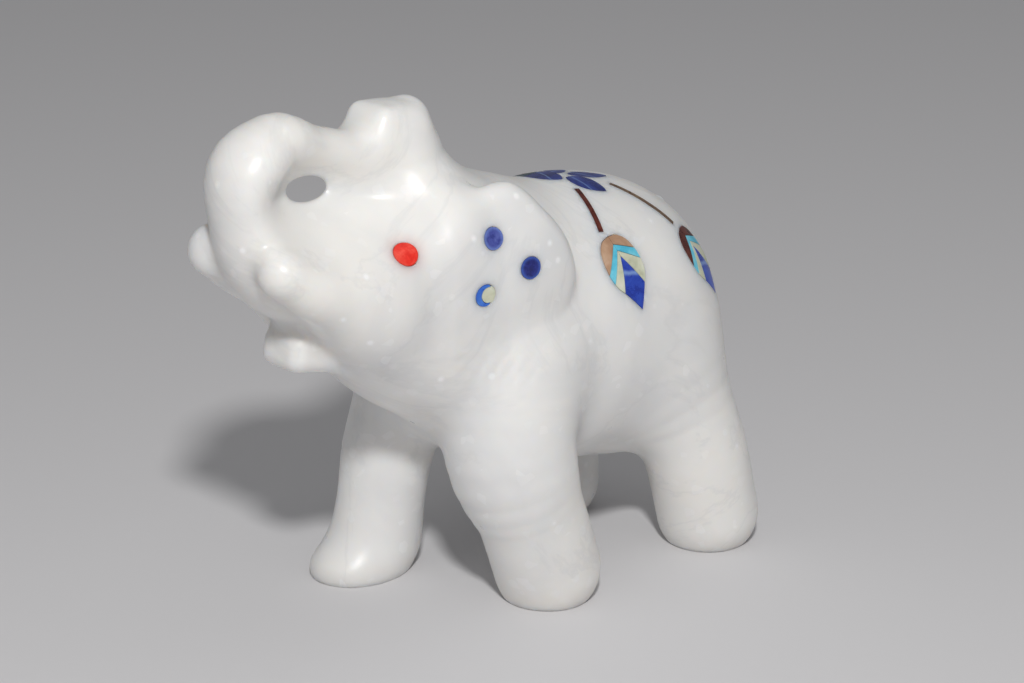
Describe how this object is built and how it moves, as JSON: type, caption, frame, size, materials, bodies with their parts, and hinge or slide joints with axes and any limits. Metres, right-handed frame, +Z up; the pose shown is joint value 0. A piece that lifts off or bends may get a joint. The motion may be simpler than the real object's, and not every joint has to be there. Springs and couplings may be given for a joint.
{
  "type": "marble inlay elephant figurine",
  "caption": "Small carved white marble elephant standing with raised trunk; cut coloured stones inlaid as eyes, ear dots and a flower with hanging buds on its back.",
  "frame": {"origin": "on the floor under the middle of the bounding box", "axes": "+X towards the rump, the head and trunk towards -X; +Y towards the animal's right side; +Z up"},
  "size_m": [0.0752, 0.0348, 0.064],
  "materials": {
    "marble": "polished white marble, slightly translucent",
    "cream_stone": "polished cream shell or stone",
    "blue_stone": "polished blue stone",
    "navy_stone": "polished dark blue stone",
    "red_stone": "polished red stone",
    "tan_stone": "polished pale brown stone",
    "lapis_stone": "polished lapis blue stone",
    "turquoise_stone": "polished turquoise",
    "dark_red_stone": "polished dark red-brown stone",
    "teal_stone": "polished dark teal stone"
  },
  "bodies": {
    "root": {"marble_elephant": "marble", "ear_crescent_filling_left": "cream_stone", "ear_crescent_left": "blue_stone", "ear_dot_lower_right": "blue_stone", "ear_dot_rear_left": "navy_stone", "ear_dot_rear_right": "navy_stone", "ear_dot_upper_left": "blue_stone", "ear_dot_upper_right": "blue_stone", "eye_left": "red_stone", "eye_right": "red_stone", "flank_bud_brown_front_left": "tan_stone", "flank_bud_brown_front_right": "tan_stone", "flank_bud_brown_rear_left": "tan_stone", "flank_bud_brown_rear_right": "tan_stone", "flank_bud_cream_front_left": "cream_stone", "flank_bud_cream_front_right": "cream_stone", "flank_bud_cream_rear_left": "cream_stone", "flank_bud_cream_rear_right": "cream_stone", "flank_bud_kite_left": "lapis_stone", "flank_bud_kite_right": "lapis_stone", "flank_bud_turquoise_front_left": "turquoise_stone", "flank_bud_turquoise_front_right": "turquoise_stone", "flank_bud_turquoise_rear_left": "turquoise_stone", "flank_bud_turquoise_rear_right": "turquoise_stone", "flank_stem_left": "dark_red_stone", "flank_stem_right": "dark_red_stone", "petal_front_right": "lapis_stone", "petal_front_right_tip": "teal_stone", "petal_rear": "lapis_stone", "petal_rear_left": "lapis_stone", "petal_rear_right": "lapis_stone", "rump_bud_brown_front_left": "dark_red_stone", "rump_bud_brown_front_right": "dark_red_stone", "rump_bud_brown_rear_left": "dark_red_stone", "rump_bud_brown_rear_right": "dark_red_stone", "rump_bud_cream_front_left": "cream_stone", "rump_bud_cream_front_right": "cream_stone", "rump_bud_cream_rear_left": "cream_stone", "rump_bud_cream_rear_right": "cream_stone", "rump_bud_kite_left": "lapis_stone", "rump_bud_kite_right": "lapis_stone", "rump_bud_turquoise_front_left": "turquoise_stone", "rump_bud_turquoise_front_right": "turquoise_stone", "rump_bud_turquoise_rear_left": "turquoise_stone", "rump_bud_turquoise_rear_right": "turquoise_stone", "rump_stem_left": "dark_red_stone", "rump_stem_right": "dark_red_stone"}
  },
  "joints": []
}
